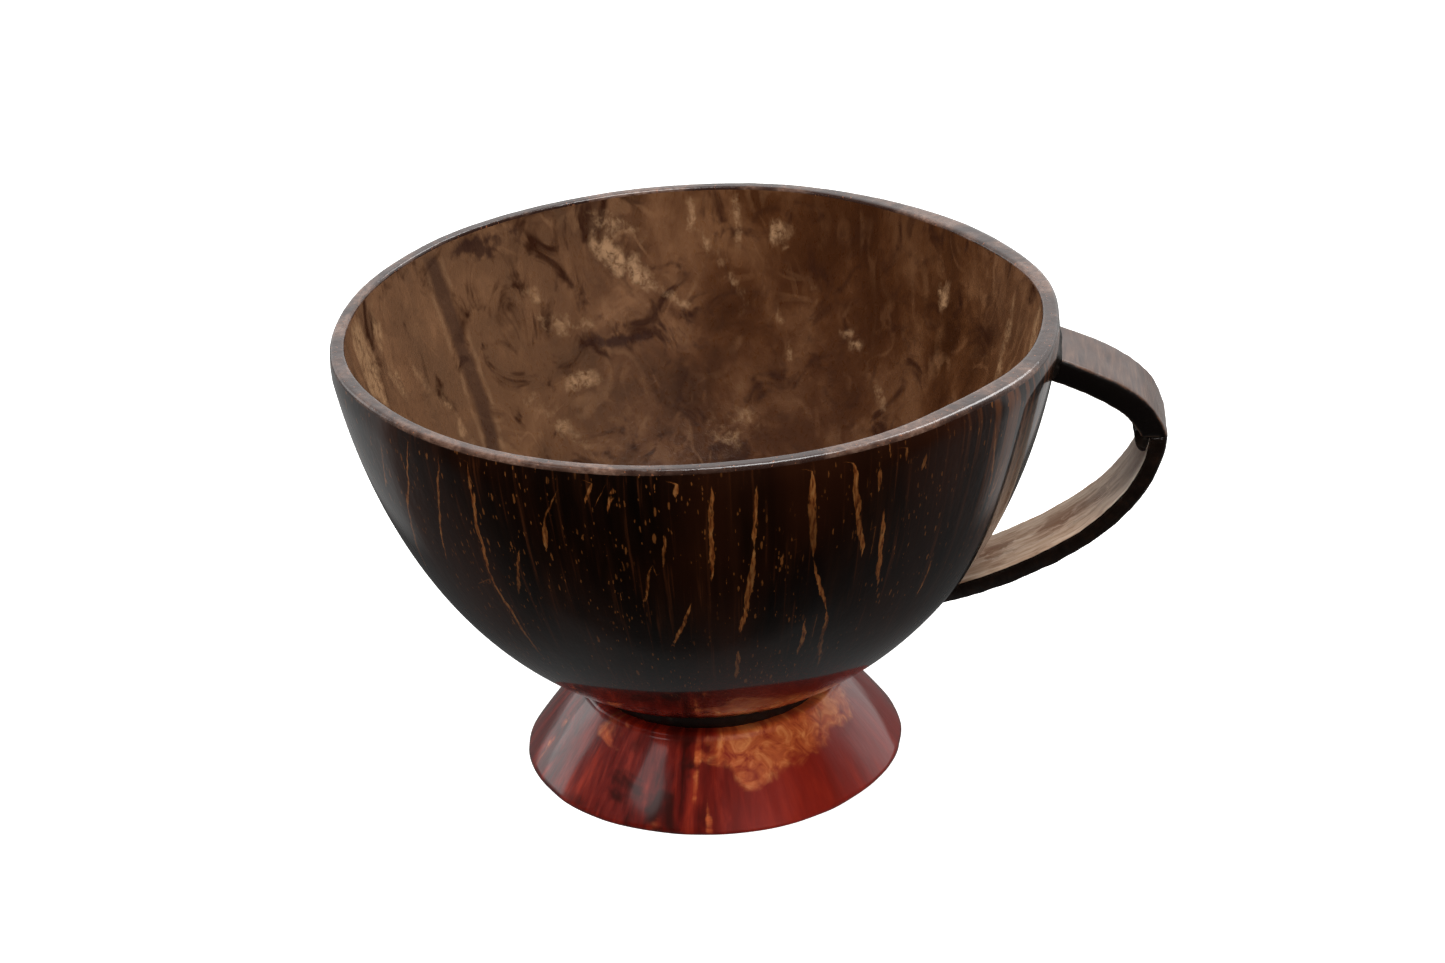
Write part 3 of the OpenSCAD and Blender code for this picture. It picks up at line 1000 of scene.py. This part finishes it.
# ---------------------------------------------------------------------------------------
# Glue where each strip meets the bowl: it fills the gap behind the strip's end, and was run
# round the end as a fillet and wiped, so it is a little wider in some places than in others.
def root_fillet(root, lean, thick, side, seed):
    """Four loops round a strip's end, from the bowl out to the strip, joined to a ring."""
    made = bmesh.new()
    points = 72
    squareness = 8
    along = Vector((cos(radians(lean)), 0, sin(radians(lean))))
    through = Vector((along.z, 0, -along.x)) * side
    loops = []
    # How far each loop stands off the strip, and how far out from the bowl it lies, in mm
    for off, out in ((0.75, -0.3), (0.30, 0.15), (0.02, 0.75), (-0.4, -0.3)):
        ring = bmesh.ops.create_circle(made, segments=points, radius=1)["verts"]
        for i, vert in enumerate(ring):
            a = 2 * pi * i / points
            square = (abs(cos(a)) ** squareness + abs(sin(a)) ** squareness) ** (1 / squareness)
            y = cos(a) / square * (strip_w / 2 + off * MM)
            n = sin(a) / square * (thick / 2 + off * MM)
            lump = ring_noise(a, 2.5, seed + off)
            spot = root + Vector((0, y, 0)) + through * (thick / 2 + n)
            azimuth = degrees(atan2(spot.y, spot.x))
            surface_x = (bowl_skin_r(azimuth, spot.z) ** 2 - y * y) ** 0.5
            vert.co = Vector((surface_x, y, spot.z)) + along * (out + 0.3 * lump) * MM
        loops.append(set(ring))
    for pair in zip(loops, loops[1:] + loops[:1]):
        edges = [edge for edge in made.edges
                 if any(ring.issuperset(edge.verts) for ring in pair)]
        bmesh.ops.bridge_loops(made, edges=edges)
    bmesh.ops.recalc_face_normals(made, faces=made.faces)
    return made


upper_root_glue = to_object(root_fillet(upper_root, upper_a, upper_t, 1, 2),
                            "upper_root_glue_bead", [glue])
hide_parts("upper_root_glue")
lower_root_glue = to_object(root_fillet(lower_root, lower_a, lower_t, -1, 6),
                            "lower_root_glue_bead", [glue])
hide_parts("lower_root_glue")


# ---------------------------------------------------------------------------------------
# The table and the studio: a bright white sweep to stand the cup on, soft lamps behind, to
# the left and above, and two wide fills that light the cup but aren't reflected in it.
def stage_finish(name):
    """White to look at, but in reflections it glows only behind the cup, beside it and, a
    little, close in front, where the lamps light it."""
    material, tree, surface = finish(name)
    tree.nodes.remove(surface)
    x, y, _ = parts(tree, on_cup(tree))
    aside = size_of(tree, x)
    behind = times(tree, between(tree, y, -0.09, -0.02), 0.055)
    beside = times(tree, between(tree, aside, 0.080, 0.098), between(tree, y, 0.004, 0.028))
    to_right = plus(tree, times(tree, between(tree, x, -0.05, 0.05), 0.20), 0.18)
    before = times(tree, between(tree, y, -0.056, -0.046), between(tree, aside, 0.055, 0.03))
    lit = plus(tree, behind, times(tree, beside, to_right))
    lit = plus(tree, lit, times(tree, before, 0.05))
    white = node(tree, "Emission", {"Color": (1.0, 0.995, 0.985, 1), "Strength": 0.93})
    matt = node(tree, "BsdfDiffuse", {"Color": (0.7, 0.7, 0.69, 1)})
    seen = node(tree, "AddShader", {0: white.outputs[0], 1: matt.outputs[0]})
    glow = node(tree, "Emission", {"Color": (1.0, 0.995, 0.985, 1), "Strength": lit})
    direct = node(tree, "LightPath").outputs["Is Camera Ray"]
    both = node(tree, "MixShader", {0: direct, 1: glow.outputs[0], 2: seen.outputs[0]})
    tree.links.new(both.outputs[0], tree.nodes["Material Output"].inputs["Surface"])
    return material


mesh = bmesh.new()
bmesh.ops.create_grid(mesh, x_segments=1, y_segments=1, size=3)
floor_data = bpy.data.meshes.new("table_top")
mesh.to_mesh(floor_data)
mesh.free()
floor_data.materials.append(stage_finish("white sweep"))
floor = bpy.data.objects.new("table_top", floor_data)
bpy.context.scene.collection.objects.link(floor)


def lamp(name, place, size, power, aim=(0, 0, 0.04)):
    """A softbox: a square area lamp turned to face the cup."""
    data = bpy.data.lights.new(name, "AREA")
    data.shape = "RECTANGLE"
    data.size, data.size_y = size
    data.energy = power
    made = bpy.data.objects.new(name, data)
    made.location = place
    made.rotation_euler = (Vector(place) - Vector(aim)).to_track_quat("Z", "Y").to_euler()
    bpy.context.scene.collection.objects.link(made)
    return made


lamp("softbox_front_left", (-0.60, -0.56, 0.82), (0.26, 0.40), 0.4)
lamp("softbox_left", (-1.0, 0.40, 0.36), (0.45, 0.5), 0.65)
lamp("softbox_top", (0.25, -0.2, 1.2), (0.6, 0.5), 9)
lamp("softbox_back_right", (0.5, 0.85, 1.1), (0.5, 0.5), 5)
for fill in (lamp("fill_right", (0.50, -1.07, 0.63), (0.9, 0.9), 10),
             lamp("fill_left", (-0.90, -0.35, 0.75), (0.8, 0.8), 9)):
    fill.visible_glossy = False

world = bpy.data.worlds.new("studio")
bpy.context.scene.world = world
world.use_nodes = True
sky = world.node_tree
# White where it is seen; as a light it fades from the back to almost nothing at the front
way = parts(sky, node(sky, "TexCoord").outputs["Generated"])
back = between(sky, way[1], -0.05, 0.6)
direct = node(sky, "LightPath").outputs["Is Camera Ray"]
level = maths(sky, "MAXIMUM", plus(sky, times(sky, back, 0.9), 0.012), direct)
sky.nodes["Background"].inputs["Color"].default_value = (1, 1, 1, 1)
sky.links.new(level, sky.nodes["Background"].inputs["Strength"])

bpy.context.scene.view_settings.view_transform = "Standard"


# ---------------------------------------------------------------------------------------
# The camera: a portrait lens half a metre away, looking down on the cup from the side that
# has the handle at its right, and held a little off level.
camera_data = bpy.data.cameras.new("camera")
camera_data.lens = 85
camera_data.sensor_width = 36
camera = bpy.data.objects.new("camera", camera_data)
bpy.context.scene.collection.objects.link(camera)
camera_at = (0.048, -0.4992, 0.2936)
heading, down_tilt, roll = 5.1, 26.1, 2.88
camera.matrix_world = (Matrix.Translation(camera_at)
                       @ Matrix.Rotation(radians(heading), 4, "Z")
                       @ Matrix.Rotation(radians(90 - down_tilt), 4, "X")
                       @ Matrix.Rotation(radians(-roll), 4, "Z"))
bpy.context.scene.camera = camera
